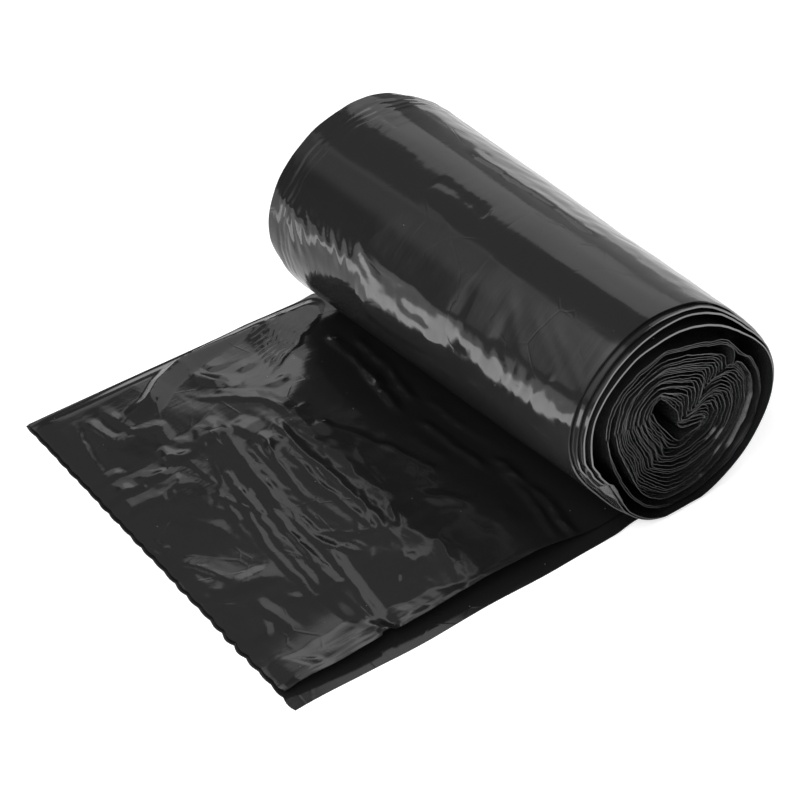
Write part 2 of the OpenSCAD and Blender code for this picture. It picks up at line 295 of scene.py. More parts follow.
def skinRelief(a, y):
    arc = np.radians(a) * arcRadius
    foldArc = arc + 1.1 * noise(a / 9, y / 10, 57) + 0.35 * noise(a / 3.6, y / 3.5, 58)
    foldY = y + 1.3 * noise(a / 10, y / 11, 59) + 0.35 * noise(a / 3.6, y / 3.5, 60)
    far, near = smooth((y - 62) / 30), smooth((-80 - y) / 14)
    # long soft waves, wrinkles towards the ends, fine ribs just left of the top, ripples low on the left,
    # broader ones right of the top, and the long streaks of winding
    h = skin["swell"] * (noise(a / 45, y / 46, 3, 8) + 0.4 * noise(a / 22.5, y / 24 + 0.13 * a / 30, 4, 16))
    h = h + skin["wrinkle"] * (0.04 + 0.5 * near + far) * noise(a / 15, y / 5.0, 5, 24)
    h = h + (0.03 * noise(a / 9, y / 2.3, 6, 40)
             * smooth((a - 96) / 8) * smooth((118 - a) / 6) * smooth((y + 45) / 30))
    h = h + 0.05 * noise(a / 7.5, y / 3.4 + a / 14, 8, 48) * smooth((a - 150) / 8)
    h = h + 0.16 * noise(a / 7.5, y / 9, 9, 48) * smooth((92 - a) / 14)
    h = h + 0.09 * noise(a / 7.5, y / 62 + 0.3 * noise(a / 45, y / 30, 65, 8), 64, 48)
    for line, height, below, above, taper in skinFolds:
        points = [(py, radians(pa) * arcRadius) for py, pa in line]
        h = h + tent(foldY, foldArc, points, height, below, above, taper)
    ends = smooth((y - roll["skinNear"]) / 2) * 0.5 + 0.5
    floorFade = smooth((np.sin(np.radians(a)) + 0.93) / 0.2)
    return h * ends * floorFade


# at the top of the near end the edges of the skin and its layers come nearer to the end plane
nearTop = {
    "at": 78, "width": 42,    # degrees round the roll
    "skin": 2.6,              # mm that the skin's edge comes nearer
    "layers": 0.6,            # share by which a layer's edge does
}


def topReach(a):
    return np.exp(-((a - nearTop["at"]) / nearTop["width"]) ** 2)


def wrapSkin():
    a = np.linspace(-90, 270, skin["around"], endpoint=False)[:, None]
    y = np.linspace(roll["skinNear"], roll["skinFar"], skin["along"])[None, :]
    a2, y2 = np.broadcast_arrays(a, y)
    flutter = 0.35 * noise(a2 / 20, 0 * a2, 11, 18) - nearTop["skin"] * topReach(a2)
    nearEdge = smooth((roll["skinNear"] + 5 - y2) / 5)
    relief = skinRelief(a2, y2)
    outer = onRoll(a2, y2 + flutter * nearEdge, -relief)
    outer[..., 1] = y2 + flutter * nearEdge
    yIn = np.linspace(roll["skinFar"], roll["skinNear"], 7)[None, :]
    a3, y3 = np.broadcast_arrays(a, yIn)
    reliefIn = np.stack([np.interp(yIn[0], y[0], row) for row in relief])
    inner = onRoll(a3, y3, skin["thickness"] - reliefIn)
    inner[:, -1, 1] += flutter[:, 0]
    points = np.concatenate([outer, inner], 1)
    columns = points.shape[1]
    uv = np.stack([np.broadcast_to(np.radians(a) * arcRadius, points.shape[:2]), points[..., 1]], -1)
    faces = gridFaces(skin["around"], columns, True, True)
    return newMesh("rollSkin", points.reshape(-1, 3), faces, uv.reshape(-1, 2))


layers = {
    "around": 300,
    # inset, thickness and depth below the end plane of each bundle of turns, near end then far end
    "near": [(0.8, 0.6, 3.1), (1.7, 0.6, 0.7), (3.3, 0.6, 0.0)],
    "far": [(0.95, 0.6, 4.0), (1.8, 0.8, 0.0)],
    "reach": 28.0,            # mm that a bundle runs in under the skin
    # where the near end's bundles gape: by which share, at which angle and how widely
    "leftSpread": (0.35, 172, 28), "topSpread": (0.33, 92, 42),
    # where they curl in, in flat facets: angle, width and mm
    "facets": ((208, 13, 3.0), (189, 8, 1.2), (224, 8, 1.2)),
}


def layerEdge(name, side, inset, thickness, depth, seed):
    a = np.linspace(-90, 270, layers["around"], endpoint=False)[:, None]
    tip = side * (roll["end"] - depth * (1 - nearTop["layers"] * topReach(a) * (side < 0)))
    back = np.array([0, 0.5, 1, 2, 3.2, 5, 8, layers["reach"]])[None, :]
    y = tip - side * np.concatenate([back, back[:, ::-1]], 1)
    grow = np.concatenate([np.zeros(8), np.full(8, thickness)])[None, :]
    a2, y2 = np.broadcast_arrays(a, y)
    loose = smooth(1 - np.abs(y2 - tip) / 9)
    wave = 0.3 * noise(a2 / 24, 0 * a2 + seed, seed, 15) + 0.14 * noise(a2 / 9, 0 * a2 + seed, seed + 1, 40)
    spread = np.ones_like(a2)
    if side < 0:
        share, at, width = layers["leftSpread"]
        spread = 1 + share * np.exp(-((a2 - at) / width) ** 2)
        share, at, width = layers["topSpread"]
        spread = spread + share * (inset - 0.5) * np.exp(-((a2 - at) / width) ** 2)
        for at, width, height in layers["facets"]:
            facet = np.clip(1.3 - np.abs(a2 - at - 3 * (seed % 3)) / width, 0, 1)
            wave = wave - height * facet * np.clip(1 - np.abs(y2 - tip) / 3.6, 0, 1)
    tipWave = 0.35 * noise(a2 / 18, 0 * a2, seed + 2, 20)
    p = onRoll(a2, y2, inset * spread + grow - loose * wave, t=0.0 if side < 0 else 1.0)
    p[..., 1] = y2 + side * tipWave * loose * 0.6
    uv = np.stack([np.radians(a2) * arcRadius, y2 + 400], -1)
    faces = gridFaces(layers["around"], y.shape[1], True, True)
    if side > 0:
        faces = faces[:, ::-1]
    return newMesh(name, p.reshape(-1, 3), faces, uv.reshape(-1, 2))


rollSkin = wrapSkin()
pieces = [rollSkin]
for k, (inset, thickness, depth) in enumerate(layers["near"]):
    pieces.append(layerEdge(f"nearLayer{k + 1}", -1, inset, thickness, depth, 20 + k))
for k, (inset, thickness, depth) in enumerate(layers["far"]):
    pieces.append(layerEdge(f"farLayer{k + 1}", 1, inset, thickness, depth, 30 + k))
print("skin and layer edges made")

# the turns in the end faces

turns = {
    "pace": 330,              # points round each turn at the outside
    "film": 0.16,             # mm, a folded sack
    "lip": 4.0,               # mm of each turn that leans with its edge
    "depth": 27.0,            # mm that it is made in to the roll
    "crumple": 1.6, "crumpleSize": 6.0,
    "looseBelow": 2.0,        # mm from the end plane to the edges of the loose outer turns
    "packedBelow": 3.2, "uneven": 2.0,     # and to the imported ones, and how far these vary
    "farInset": 7.9,          # mm, of the outermost turn at the far end
    "patternAt": (0.06, 0.05), "patternRadius": 0.04,        # m, the film's pattern runs round this point
}
# The turns' outlines as x and z, clockwise from the left: the outermost, four further in, and the bore.
# Two pleats run in to the bore, one from the upper right and one from the lower left
outlines = {
    1.0: [(-36.5, 62), (-35.5, 72), (-30, 82), (-20, 88.5), (-8, 92), (8, 88), (20, 84), (27.5, 80.8),
          (31, 77), (35, 72), (39, 67.5), (43.5, 63), (48.5, 54), (51.5, 43), (50, 30), (43, 17.5),
          (30, 8), (14, 4), (0, 5), (-10, 10.5), (-17, 17.5), (-23, 26), (-29.5, 38), (-34.5, 51)],
    0.8: [(-30.5, 60), (-29.5, 69), (-26, 77.5), (-18, 81.5), (-7, 85), (6, 82), (17, 77.7), (26, 73.2),
          (29.8, 69.5), (31, 64), (34.5, 66), (38, 63), (43.5, 55), (46, 44), (43.5, 32), (37, 21),
          (26, 12.5), (13, 8.8), (0, 10.5), (-9, 16), (-15, 23), (-20, 31.5), (-24.5, 42), (-28.5, 51)],
    0.66: [(-27, 60), (-26, 68), (-22, 75), (-15, 79), (-6, 81.5), (4, 78.5), (13, 75), (20.5, 71.3),
           (22.5, 67.5), (22, 62.5), (27, 63.3), (33, 61.5), (39, 54), (41.5, 44), (39.5, 33.5), (33.5, 24),
           (24, 16.5), (12, 13.5), (1, 15), (-9.5, 24), (-16, 31), (-17.8, 38), (-19.5, 42.5), (-25, 51.5)],
    0.42: [(-20, 59), (-19, 66), (-15, 71.5), (-10, 74.5), (-5, 74), (2, 71), (8, 68.3), (12.5, 65.5),
           (14.3, 60), (13, 52.3), (18.5, 54.5), (25, 55), (30.5, 51.5), (33.5, 43), (32, 35.5), (27.5, 29.5),
           (19.5, 26), (11, 24.5), (3, 26.3), (-4, 30), (-8, 33), (-9.5, 39), (-13, 45), (-17.5, 52)],
    0.22: [(-14.5, 58), (-13.5, 63), (-10.5, 67), (-6.5, 68.5), (-2.5, 67), (1.5, 64.5), (5, 62), (7.5, 59),
           (8.5, 54), (8.3, 49.5), (13.5, 49.8), (19, 51.3), (24, 49), (26, 43.5), (24, 38.5), (20.5, 35.5),
           (14.5, 32.8), (8, 31.8), (3, 32.5), (-0.5, 33.5), (-2.5, 36), (-4, 40.5), (-8, 45.5), (-12, 52)],
    0.0: [(-9.5, 60.5), (-9.5, 62.5), (-8.2, 64.3), (-6, 64.9), (-4, 63), (-1.5, 59.5), (0.8, 56), (3, 53),
          (4.3, 49), (5, 45), (6.5, 42), (9, 40.6), (13, 40.2), (17, 40.8), (16.5, 39.6), (12.5, 38.7),
          (9.5, 38.3), (8.6, 36.6), (7, 37.5), (4.5, 40.5), (2, 43.5), (-1, 47.5), (-4.5, 52), (-7.5, 56.5)],
}
heart = np.array([-0.3, 49.5])               # middle of the bore at the near end, as x and z
heartFar = np.array([-2.8, centreHeight(1) - 5])             # and at the far end
# places where turns have opened outwards and show their inner side: x, z, radius, lean, first and last turn
opened = [(52, 40, 16, 0.55, 2, 2), (44, 20, 9, 0.5, 2, 2), (12, 3, 15, 0.5, 2, 2),
          (38, 22, 3, 0.6, 6, 7), (32, 18, 4, 0.6, 6, 8), (24, 33, 3.5, 0.6, 14, 16),
          (29, 30, 3, 0.6, 12, 13), (19, 44, 4, 0.7, 22, 24), (-27, 38, 7, 0.3, 5, 6)]


# a closed outline at a share of the way round, half straight and half curved between its points
def alongOutline(points, c):
    p = np.asarray(points, float)
    n = len(p)
    i = np.floor(c * n).astype(int)
    w = (c * n - i)[:, None]
    p0, p1, p2, p3 = p[(i - 1) % n], p[i % n], p[(i + 1) % n], p[(i + 2) % n]
    slope, bend, twist = p2 - p0, 2 * p0 - 5 * p1 + 4 * p2 - p3, 3 * p1 - 3 * p2 + p3 - p0
    curve = 0.5 * (2 * p1 + slope * w + bend * w ** 2 + twist * w ** 3)
    return 0.45 * mix(p1, p2, w) + 0.55 * curve


# a point at c of the way round and a share of the way out, and the way to it from the bore's middle
def turnPoint(c, share, side):
    keys = sorted(outlines)
    p = np.zeros((len(c), 2))
    curves = [alongOutline(outlines[k], c) for k in keys]
    for low, high, a, b in zip(keys[:-1], keys[1:], curves[:-1], curves[1:]):
        inside = (share >= low) & (share <= high)
        w = np.clip((share - low) / (high - low), 0, 1)[:, None]
        p[inside] = mix(a, b, w)[inside]
    away = p - heart
    if side < 0:
        return p, away
    # the far end's turns are the same web, so they follow the same pleats in its own section
    outer = curves[-1] - heart
    angle = np.degrees(np.arctan2(outer[:, 1], outer[:, 0]))
    ring = onRoll(angle, np.zeros_like(angle), turns["farInset"], t=1.0)[:, [0, 2]] - heartFar
    grow = np.linalg.norm(ring, axis=1) / np.linalg.norm(outer, axis=1)
    return heartFar + away * mix(1, grow[:, None], share[:, None]), away


# the runs of film in an end face: for each point its share of the way round and out, and its turn
def turnPaths():
    # Shares of the way out at which the turns start. From 0.944 to 0.80 the web steps in within part of
    # a turn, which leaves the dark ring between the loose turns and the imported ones
    starts = [1.0, 0.972, 0.944, 0.80, 0.775, 0.75, 0.725] + list(np.linspace(0.69, 0.02, 20))
    arcs = []
    for k in range(len(starts) - 1):
        n = int(mix(130, turns["pace"], starts[k] ** 0.8))
        c = np.arange(n) / n
        step = smooth((c - 0.33) / 0.08) if starts[k] - starts[k + 1] > 0.1 else c
        arcs.append((c, mix(starts[k], starts[k + 1], step), np.full(n, k)))
    paths = [tuple(np.concatenate(part) for part in zip(*arcs))]
    # a fold of the film fills the right pleat
    n = 90
    for k, share in enumerate((0.205, 0.165, 0.125, 0.085, 0.05)):
        c = np.linspace(9.3, 15.0 + 0.3 * (k % 2), n) / 24
        paths.append((c, np.full(n, share), np.full(n, 30 + k)))
    return paths


# how far the film leans inwards at each point of a run, and where it has opened
def turnLean(p, away, c, share, turn):
    # the outer turns have sagged open on the right and below, so their inner faces show
    lean = 0.1 * smooth((share - 0.35) / 0.3) * (0.4 + smooth((away[:, 0] - away[:, 1]) / 40 + 0.4))
    lean = lean + 0.3 * np.clip(noise(c * 17, turn * 0.61, 13, 17) - 0.2, 0, 1)
    for x, z, radius, amount, first, last in opened:
        near = (np.hypot(p[:, 0] - x, p[:, 1] - z) < radius) & (turn >= first) & (turn <= last)
        lean = np.where(near, np.maximum(lean, amount), lean)
    return lean[:, None]


# the path of the turns' edges, and the way each point runs in to the roll
def spiral(side):
    points, runs, breaks = [], [], []
    for c, share, turn in turnPaths():
        p, away = turnPoint(c, share, side)
        rng = np.random.RandomState(7 + (side > 0))
        level = rng.rand(60)[turn]
        loose = turns["looseBelow"] + 0.3 * (turn == 1)
        depth = np.where(turn < 3, loose, turns["packedBelow"] + turns["uneven"] * (level - 0.5))
        depth = depth + 0.8 * noise(c * 9, turn * 0.37, 12, 9) + 1.3 * smooth((0.45 - share) / 0.45)
        reach = np.linalg.norm(away, axis=1)[:, None]
        ripple = 0.28 * noise(c * 40, turn * 0.9, 14, 40) * smooth((0.72 - share) / 0.05)
        p = p + away / reach * ripple[:, None]
        inwards = -away / reach * turnLean(p, away, c, share, turn)
        points.append(np.stack([p[:, 0], side * (roll["end"] - depth), p[:, 1]], -1))
        runs.append(np.stack([inwards[:, 0], np.full(len(c), -float(side)), inwards[:, 1]], -1))
        breaks.append(len(c))
    return np.concatenate(points), np.concatenate(runs), breaks


def turnNodes():
    tree = bpy.data.node_groups.new("edges of wound turns", "GeometryNodeTree")
    face = tree.interface
    face.new_socket("Path", in_out="INPUT", socket_type="NodeSocketGeometry")
    for name in ("Lip", "Depth", "Crumple", "Crumple size", "Seed"):
        face.new_socket(name, in_out="INPUT", socket_type="NodeSocketFloat")
    face.new_socket("Film", in_out="INPUT", socket_type="NodeSocketMaterial")
    face.new_socket("Turns", in_out="OUTPUT", socket_type="NodeSocketGeometry")
    given = tree.nodes.new("NodeGroupInput").outputs
    where = addNode(tree, "GeometryNodeInputPosition").outputs[0]
    finer = addNode(tree, "ShaderNodeMath", {1: given["Crumple size"]}, operation="DIVIDE")
    finer.inputs[0].default_value = 1.0
    cloud = addNode(tree, "ShaderNodeTexNoise",
                    {"Vector": where, "W": given["Seed"], "Scale": finer.outputs[0]},
                    noise_dimensions="4D", Detail=2.5, Roughness=0.5).outputs["Color"]
    centred = addNode(tree, "ShaderNodeVectorMath", {0: cloud}, operation="SUBTRACT")
    centred.inputs[1].default_value = (0.5, 0.5, 0.5)
    push = addNode(tree, "ShaderNodeVectorMath",
                   {0: centred.outputs[0], "Scale": given["Crumple"]}, operation="SCALE")
    moved = addNode(tree, "GeometryNodeSetPosition", {"Geometry": given["Path"], "Offset": push.outputs[0]})
    run = addNode(tree, "GeometryNodeInputNamedAttribute", data_type="FLOAT_VECTOR", Name="run").outputs[0]
    lip = addNode(tree, "GeometryNodeExtrudeMesh", {"Mesh": moved.outputs[0], "Offset": run,
                  "Offset Scale": given["Lip"]}, mode="EDGES")
    straight = addNode(tree, "ShaderNodeVectorMath", {0: run}, operation="MULTIPLY")
    straight.inputs[1].default_value = (0.0, 1.0, 0.0)
    edges = addNode(tree, "GeometryNodeExtrudeMesh",
                    {"Mesh": lip.outputs["Mesh"], "Selection": lip.outputs["Top"],
                     "Offset": straight.outputs[0], "Offset Scale": given["Depth"]}, mode="EDGES")
    dressed = addNode(tree, "GeometryNodeSetMaterial",
                      {"Geometry": edges.outputs["Mesh"], "Material": given["Film"]})
    real = addNode(tree, "GeometryNodeRealizeInstances", {"Geometry": dressed.outputs[0]})
    addNode(tree, "NodeGroupOutput", {"Turns": real.outputs[0]})
    return tree


def woundTurns(name, side, tree, seed):
    points, runs, parts = spiral(side)
    mesh = bpy.data.meshes.new(name)
    ends = np.cumsum(parts)
    links = [(k, k + 1) for k in range(len(points) - 1) if k + 1 not in ends]
    mesh.from_pydata(toPart(points).tolist(), links, [])
    mesh.attributes.new("run", "FLOAT_VECTOR", "POINT").data.foreach_set("vector", runs.ravel())
    source = bpy.data.objects.new(name + "Path", mesh)
    bpy.context.collection.objects.link(source)
    grow = source.modifiers.new("turns", "NODES")
    grow.node_group = tree
    values = {"Lip": turns["lip"] / 1000, "Depth": (turns["depth"] - turns["lip"]) / 1000,
              "Crumple": turns["crumple"] / 1000, "Crumple size": turns["crumpleSize"] / 1000,
              "Seed": seed, "Film": blackFilm}
    for item in tree.interface.items_tree:
        if item.in_out == "INPUT" and item.name in values:
            grow[item.identifier] = values[item.name]
    thick = source.modifiers.new("film", "SOLIDIFY")
    thick.thickness, thick.offset = turns["film"] / 1000, 0
    done = bpy.data.meshes.new_from_object(source.evaluated_get(bpy.context.evaluated_depsgraph_get()))
    bpy.data.objects.remove(source)
    done.name = name
    layer = done.uv_layers.new(name="film")
    loops = np.empty(len(done.loops), int)
    done.loops.foreach_get("vertex_index", loops)
    co = np.empty(len(done.vertices) * 3)
    done.vertices.foreach_get("co", co)
    co = co.reshape(-1, 3)
    x0, z0 = turns["patternAt"]
    around = np.unwrap(np.arctan2(co[:, 2] - z0, co[:, 0] - x0)) * turns["patternRadius"]
    layer.data.foreach_set("uv", np.stack([around, co[:, 1]], -1)[loops].ravel())
    done.shade_smooth()
    done.set_sharp_from_angle(angle=radians(50))
    piece = bpy.data.objects.new(name, done)
    bpy.context.collection.objects.link(piece)
    return piece


turnTree = turnNodes()
pieces.append(woundTurns("nearTurns", -1, turnTree, 3.0))
pieces.append(woundTurns("farTurns", 1, turnTree, 8.0))

bore = {
    "long": 29.0, "wide": 6.0,
    "turn": -55.0,            # its section leans down to the right
    "taper": 0.35,            # and is narrower at that end
}


# the wound film behind the edges, with the collapsed bore through it
def packedCore():
    n, stop, bevel = 120, roll["end"] - turns["depth"], 0.8
    a = np.linspace(-90, 270, n, endpoint=False)
    # rings of its outside: y, share of the way from the near end, inset
    rings = ((-stop, 0.0, 5.1), (-stop + bevel, 0.0, 2.6), (0, 0.5, 2.6),
             (stop - bevel, 1.0, 1.6), (stop, 1.0, 2.4))
    loops = [onRoll(a, np.full(n, y), inset, t=t) for y, t, inset in rings]
    at, b = np.radians(a - bore["turn"]), radians(bore["turn"])
    u, v = bore["long"] / 2 * np.cos(at), bore["wide"] / 2 * np.sin(at) * (1 - bore["taper"] * np.cos(at))
    for y, (x0, z0) in ((stop, heartFar), (-stop, heart)):
        x, z = x0 + u * cos(b) - v * sin(b), z0 + u * sin(b) + v * cos(b)
        loops.append(np.stack([x, np.full(n, y), z], -1))
    p = np.stack(loops, 1)
    uv = np.stack([np.broadcast_to(np.radians(a)[:, None] * arcRadius, p.shape[:2]), p[..., 1]], -1)
    faces = gridFaces(n, len(loops), True, True)
    return newMesh("packedCore", p.reshape(-1, 3), faces, uv.reshape(-1, 2))


pieces.append(packedCore())
print("turns made", [(p.name, len(p.data.polygons)) for p in pieces])

# the free end

web = {
    "length": 181.0,          # from the roll's line to the torn edge
    "drift": 12.0, "skew": 1.2, "tornSkew": 2.0, "flare": 13.9,
    "tabs": 24, "tab": 1.1,   # perforation left by the tear
    "slip": 7.5,              # the lower ply shows this far beyond the upper one
    "film": 0.35,             # mm, one folded ply
    "pitch": (0.92, 1.7),     # mm between the points of the upper ply and of the lower one
    "rootX": -27.0,           # where the plies go in under the roll
    "narrowAt": -11.0,        # and narrow to its width
    "rise": (0.045, 0.105),   # slopes by which the upper ply climbs towards the roll
    "riseFrom": (-182.0, -128.0),            # x where each of them starts
    "riseStop": 41.0,         # length of the second, on average
    "drop": 0.5,              # mm by which it drops behind two of its creases
    "curl": (2.2, 1.4),       # mm by which its near side curls up, at the torn corner and further along
    "under": 32.0,            # how far they run on below it
    "tube": 3.2,              # height of the soft tube along the far side
}
# Folds: points as y and x, height mm, widths mm. The first width is on the side towards the roll where a
# fold runs towards the far side, and on the near side where it runs towards the roll
webFolds = [
    # the long creases where the sack was folded across. The climb drops a little behind the first one
    ([(-86, -134), (-48, -127), (-26, -124.5), (4, -123.5), (39, -118), (61, -113.5)], 0.19, 2.4, 2),
    ([(-48, -132.5), (-45, -134), (4, -127.5)], 0.53, 5, 1.8),
    ([(-47, -139.5), (-24, -137.5), (35, -128.5)], 0.26, 2.4, 2.2),
    ([(-47, -143), (-13, -141.5), (22, -132)], 0.25, 2.2, 2.4),
    ([(-48, -126), (-50, -146)], 0.25, 2.5, 2), ([(-46, -146), (-42, -153)], 0.31, 3, 2),
    ([(-41, -115), (-35, -119), (-27, -124)], 0.46, 3.6, 1.6),
    ([(-27, -113), (-20, -121), (0, -121.5)], 0.26, 2, 1.4),
    ([(9, -118), (41, -113)], 0.26, 2, 1.6), ([(-2, -113), (20, -109.5), (39, -106)], 0.26, 2, 2),
    ([(-35, -102.5), (0, -104), (28, -102)], 0.31, 2.6, 1.4), ([(28, -107), (44, -105)], 0.87, 7.5, 1.6),
    ([(-40, -101), (-30, -97), (0, -96), (20, -97), (48, -94.5)], 0.19, 2.2, 1.6),
    ([(-32, -103), (-9, -91)], 0.25, 1.8, 1.6), ([(-42, -99), (-28, -89)], 0.28, 2.2, 1.6),
    ([(-38, -94), (-26, -88)], 0.25, 1.8, 1.6), ([(-35, -101), (-31, -113)], 0.43, 3.6, 1.6),
    ([(-46, -104), (-36, -96)], 0.25, 2, 1.6), ([(-20, -84), (6, -80), (12, -74)], 0.19, 1.6, 1.6),
    ([(44, -84), (46.5, -74)], 0.31, 2, 2), ([(-44, -110), (-50, -118)], 0.25, 2, 2),
    ([(-40, -130), (-20, -131), (-6, -130)], 0.25, 1.6, 1.2), ([(-30, -135), (-10, -134)], 0.22, 1.5, 1.2),
    ([(-22, -126), (-16, -131)], 0.22, 1.5, 1.5), ([(2, -123), (6, -127)], 0.22, 1.4, 1.4),
    ([(16, -121), (34, -120)], 0.22, 1.5, 1.2), ([(24, -112), (40, -110)], 0.19, 1.4, 1.2),
    ([(-27, -60), (0, -68), (20, -76), (34, -82)], 1.18, 4, 6),
    ([(-30, -66), (-4, -73), (22, -84)], 0.56, 4, 7),
    # soft bright panels
    ([(52, -144), (54, -128), (56, -111)], 1.25, 3, 12), ([(50, -146), (62, -141.5)], 0.43, 4, 2),
    ([(47, -113), (51, -99)], 0.74, 5, 10),
    ([(45, -86), (60, -88.5), (70, -98), (81, -110)], 0.68, 6.5, 2.5),
    ([(66, -70), (69, -84)], 0.31, 4, 4),
    ([(90, -139), (91.5, -124)], 0.5, 2, 4),
    ([(62, -136), (76, -135), (82, -145), (99, -147)], 0.5, 4.5, 2.2),
    ([(79, -146), (79, -154), (84, -156), (100, -157)], 0.5, 4.5, 2),
    ([(68, -169), (90, -165.5), (100, -161)], 0.31, 2.6, 2),
    ([(39, -177), (40, -142)], 0.68, 3, 9), ([(50, -182), (51, -145)], 0.87, 3, 9),
    ([(62, -180), (62, -160)], 0.5, 2, 5),
    ([(-18, -180), (-26, -160), (-29, -146)], 0.81, 4, 9),
    ([(-20, -163), (-8, -169), (3, -176)], 0.68, 7, 2), ([(-19, -173), (0, -177)], 0.31, 3, 2),
    ([(7, -176), (26, -178)], 0.74, 5, 2),
    ([(-60, -160), (-40, -163), (-35, -161)], 0.56, 4, 4), ([(-52, -181), (-49, -163)], 0.81, 3, 8),
    ([(-78, -168), (-64, -174)], 0.25, 1.5, 1.5),
    ([(-80, -162), (-68, -170)], 0.25, 1.5, 1.5),
    ([(-80, -95), (-66, -90), (-54, -84)], 0.56, 4.5, 2),
    ([(-60, -108), (-58, -94)], 0.62, 2, 5), ([(-66, -118), (-52, -100)], 0.19, 1.4, 1.4),
    ([(75, -88), (85, -97), (97, -103), (108, -104)], 0.62, 5, 9),
    ([(86, -88), (84, -76)], 0.37, 3, 6), ([(96, -98), (93, -86)], 0.37, 3, 6),
    # soft waves under the roll's reflection
    ([(-88, -40), (-60, -33), (-28, -32)], 1.5, 5, 3.4), ([(-84, -48), (-60, -39), (-35, -35)], 1.2, 5, 3),
    ([(-33, -41), (9, -44)], 1.2, 5, 3.2), ([(18, -48), (38, -44), (52, -38)], 1.5, 5, 3.4),
    ([(22, -37), (50, -30), (74, -29)], 1.4, 5, 3.4), ([(30, -46), (56, -40), (84, -38)], 1.2, 5, 3.2),
    ([(-26, -25), (0, -30), (22, -30)], 1.1, 6, 3.4), ([(-49, -62), (-28, -78)], 0.8, 5, 4),
    ([(-20, -52), (4, -54)], 0.56, 5, 5), ([(-70, -60), (-56, -52)], 0.5, 6, 6),
]
for k in range(9):            # fine pleats that spread from the far side by the roll
    webFolds.append(([(109 - 0.8 * k, -24), (107 - 2.3 * k, -46), (102 - 3.4 * k, -68 - k)], 0.5, 1.1, 1.3))
rng = np.random.RandomState(61)
for k in range(60):           # short creases between the long ones, mostly along the roll
    cy, cx = rng.uniform(-46, 52), rng.uniform(-142, -86)
    along, turn = rng.uniform(3, 11), radians(rng.normal(7, 22))
    dy, dx = along * cos(turn), along * sin(turn)
    webFolds.append(([(cy - dy, cx - dx), (cy + dy, cx + dx)], rng.uniform(0.07, 0.17), 1.3, 1.2))
# the soft tube of the fold along the far side, as y and x
tubeLine = [(116, -48), (113, -65), (110, -75), (108, -90), (105, -105), (100, -118), (93, -128), (90, -140)]

freeNear, freeFar = roll["skinNear"] - 1, roll["end"] + web["drift"]


# y of a point of the free end at x, and across the web from 0 at the near edge to 1
def webPoint(x, across):
    k = smooth((web["narrowAt"] - x) / web["flare"])
    y = mix(mix(roll["skinNear"] + 1, roll["skinFar"], across), mix(freeNear, freeFar, across), k)
    return y - x * tan(radians(web["skew"])) * k


# x of the torn edge, with its tabs
def tornX(across):
    y = mix(freeNear, freeFar, across)
    deep = web["tab"] * (0.65 + 0.9 * noise(across * 7, 0 * across, 46)) * (1.15 - 0.6 * across)
    tabs = np.abs(np.sin(pi * web["tabs"] * across))
    return -web["length"] + tan(radians(web["tornSkew"])) * y - deep * tabs


# The upper ply climbs towards the roll, gently and then more steeply up to a line that wanders. It drops
# a little behind the first long crease and beyond a shorter one, and then sinks in under the roll
def webClimb(x, y):
    start, bend = web["riseFrom"]
    climb = web["rise"][0] * np.minimum(x - start, bend - start)
    stop = web["riseStop"] + 6 * noise(y / 30, 0 * y, 55) + 3 * noise(y / 9, 0 * y, 56)
    climb = climb + web["rise"][1] * np.clip(x - bend, 0, stop) * smooth((98 - y) / 70)
    firstY, firstX = zip(*webFolds[0][0])
    climb = climb - web["drop"] * smooth((x - np.interp(y, firstY, firstX)) / 6) * smooth((70 - y) / 20)
    shorter = smooth((y + 45) / 20) * smooth((56 - y) / 12)
    climb = climb - web["drop"] * smooth((x + 98 - 0.02 * y) / 6) * shorter
    return climb * smooth((web["rootX"] - 2 - x) / 34)


# height of a ply above the one under it
def webRelief(x, y, across, top):
    h = np.zeros_like(x)
    middling = smooth((55 - np.abs(y)) / 25) * smooth((-72 - x) / 12) * smooth((x + 156) / 12)
    # no fold in film is quite straight or even, so the folds are read at places that wander a little
    foldX = x + 1.1 * noise(x / 10, y / 10, 50) + 0.35 * noise(x / 3.7, y / 3.7, 51)
    foldY = y + 1.8 * noise(x / 11, y / 13, 52) + 0.6 * noise(x / 3.7, y / 4.1, 53)
    uneven = 1 + 0.7 * noise(x / 8, y / 9, 54)
    if top:
        h = h + webClimb(x, y)
        for line, height, left, right in webFolds:
            h = h + uneven * tent(foldY, foldX, line, height, left, right, 6.0)
        h = h + tent(y, x, tubeLine, web["tube"], 4.5, 8, 16.0)
        h = h + 2.4 * smooth((y - 76) / 30) * smooth((x + 74) / 24)
    h = h + 0.2 * noise(x / 34, y / 30, 40) + 0.1 * noise(x / 15 + y / 40, y / 17, 41)
    crease = 0.3 - np.abs(noise(x / 8 + y / 50, y / 19, 42))
    fineCrease = 0.3 - np.abs(noise(x / 4, y / 5, 47))
    h = h + crease * (0.05 + 0.12 * middling) + 0.05 * fineCrease * (0.3 + 0.7 * middling)
    h = np.maximum(h + 0.35, 0.35 * np.exp(np.minimum(h, 0)) - 0.2)
    # the near side stays up where it curls, and the far side lies down in its fold
    w = freeFar - freeNear
    corner = smooth((-134 - x) / 8)
    h = h * (1 - 0.85 * corner * np.exp(-((y + 62) / 11) ** 2))
    nearSide = mix(0.3 + 0.65 * corner, 1, smooth(across * w / 9))
    farSide = mix(0.12, 1, smooth((1 - across) * w / 9))
    tail = smooth((x - tornX(across)) / 10)
    return h * nearSide * farSide * (0.25 + 0.75 * tail)


